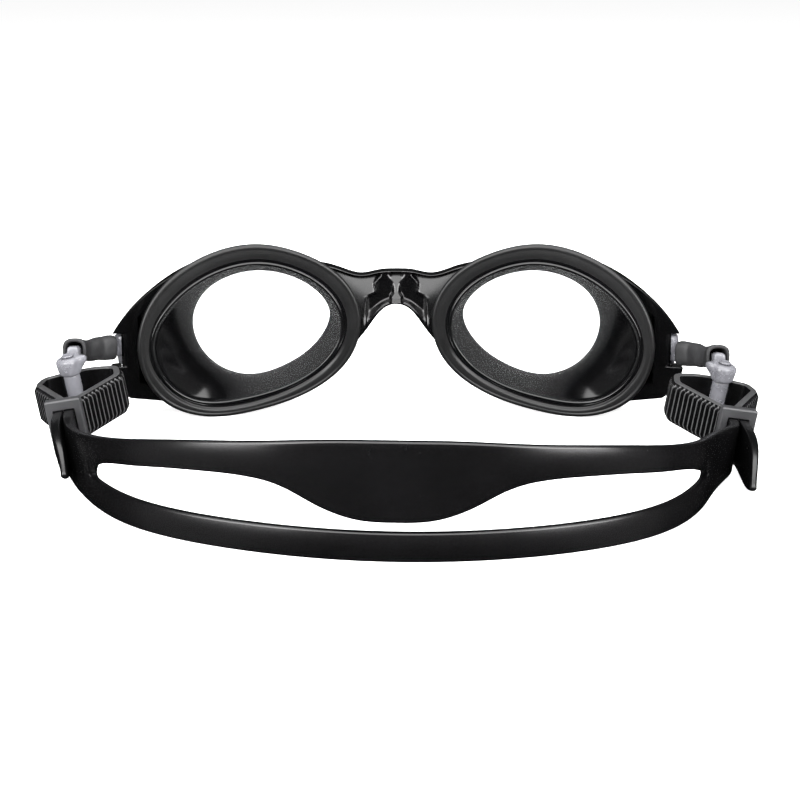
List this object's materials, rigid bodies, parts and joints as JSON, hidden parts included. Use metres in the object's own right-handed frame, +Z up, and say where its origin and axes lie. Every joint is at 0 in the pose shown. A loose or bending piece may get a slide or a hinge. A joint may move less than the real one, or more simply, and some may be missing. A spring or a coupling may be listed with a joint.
{
  "type": "swim goggles",
  "caption": "Swim goggles with soft eyecups, clear lenses, a nose bridge, swivelling strap clips and a split head strap with sliding buckles.",
  "frame": {"origin": "at table height, in the middle of the footprint of the goggles as they lie on a table", "axes": "+X to the wearer's right, across the two eyecups; +Y forward, out through the lenses; +Z up"},
  "size_m": [0.1866, 0.1448, 0.0468],
  "materials": {
    "frame_plastic": "glossy black moulded plastic",
    "clear_lens": "clear polycarbonate with an anti-fog coating",
    "seal_silicone": "black silicone, satin on the flange and glossy inside",
    "bridge_silicone": "glossy black silicone",
    "clip_plastic": "translucent smoke-grey moulded plastic",
    "sleeve_rubber": "matte black soft rubber",
    "buckle_plastic": "satin black moulded plastic",
    "strap_silicone": "black silicone, glossy along its edges",
    "pin_steel": "plain stainless pin"
  },
  "bodies": {
    "goggles": {"frame_left": "frame_plastic", "lens_left": "clear_lens", "eye_seal_left": "seal_silicone", "pivot_pin_left": "pin_steel", "frame_right": "frame_plastic", "lens_right": "clear_lens", "eye_seal_right": "seal_silicone", "pivot_pin_right": "pin_steel", "nose_bridge": "bridge_silicone"},
    "strap": {"strap_end_left": "strap_silicone", "strap_end_right": "strap_silicone", "strap_upper_band": "strap_silicone", "strap_lower_band": "strap_silicone"},
    "clip_left": {"clip_arm_left": "clip_plastic", "clip_sleeve_left": "sleeve_rubber"},
    "post_left": {"strap_post_left": "clip_plastic"},
    "buckle_left": {"buckle_left": "buckle_plastic"},
    "clip_right": {"clip_arm_right": "clip_plastic", "clip_sleeve_right": "sleeve_rubber"},
    "post_right": {"strap_post_right": "clip_plastic"},
    "buckle_right": {"buckle_right": "buckle_plastic"}
  },
  "joints": [
    {"name": "clip_left_pivot", "type": "hinge", "parent": "goggles", "child": "clip_left", "pos_m": [-0.0735, 0.05219, 0.0183], "axis": [0, 0, 1], "range_deg": [0, 8]},
    {"name": "post_left_swivel", "type": "hinge", "parent": "clip_left", "child": "post_left", "pos_m": [-0.0838, 0.03019, 0.0159], "axis": [-0.1564, -0.0861, 0.9839], "continuous": true},
    {"name": "clip_right_pivot", "type": "hinge", "parent": "goggles", "child": "clip_right", "pos_m": [0.0735, 0.05219, 0.0183], "axis": [0, 0, -1], "range_deg": [0, 8]},
    {"name": "post_right_swivel", "type": "hinge", "parent": "clip_right", "child": "post_right", "pos_m": [0.08355, 0.02819, 0.0146], "axis": [0.1564, -0.0861, 0.9839], "continuous": true},
    {"name": "strap_shift", "type": "slide", "parent": "goggles", "child": "strap", "axis": [0, 1, 0], "range_m": [0, 0.0018]},
    {"name": "buckle_left_slide", "type": "slide", "parent": "strap", "child": "buckle_left", "axis": [-0.0135, 0.9963, 0.085], "range_m": [0, 0.003]},
    {"name": "buckle_right_slide", "type": "slide", "parent": "strap", "child": "buckle_right", "axis": [-0.072, 0.9926, 0.0983], "range_m": [0, 0.003]}
  ]
}
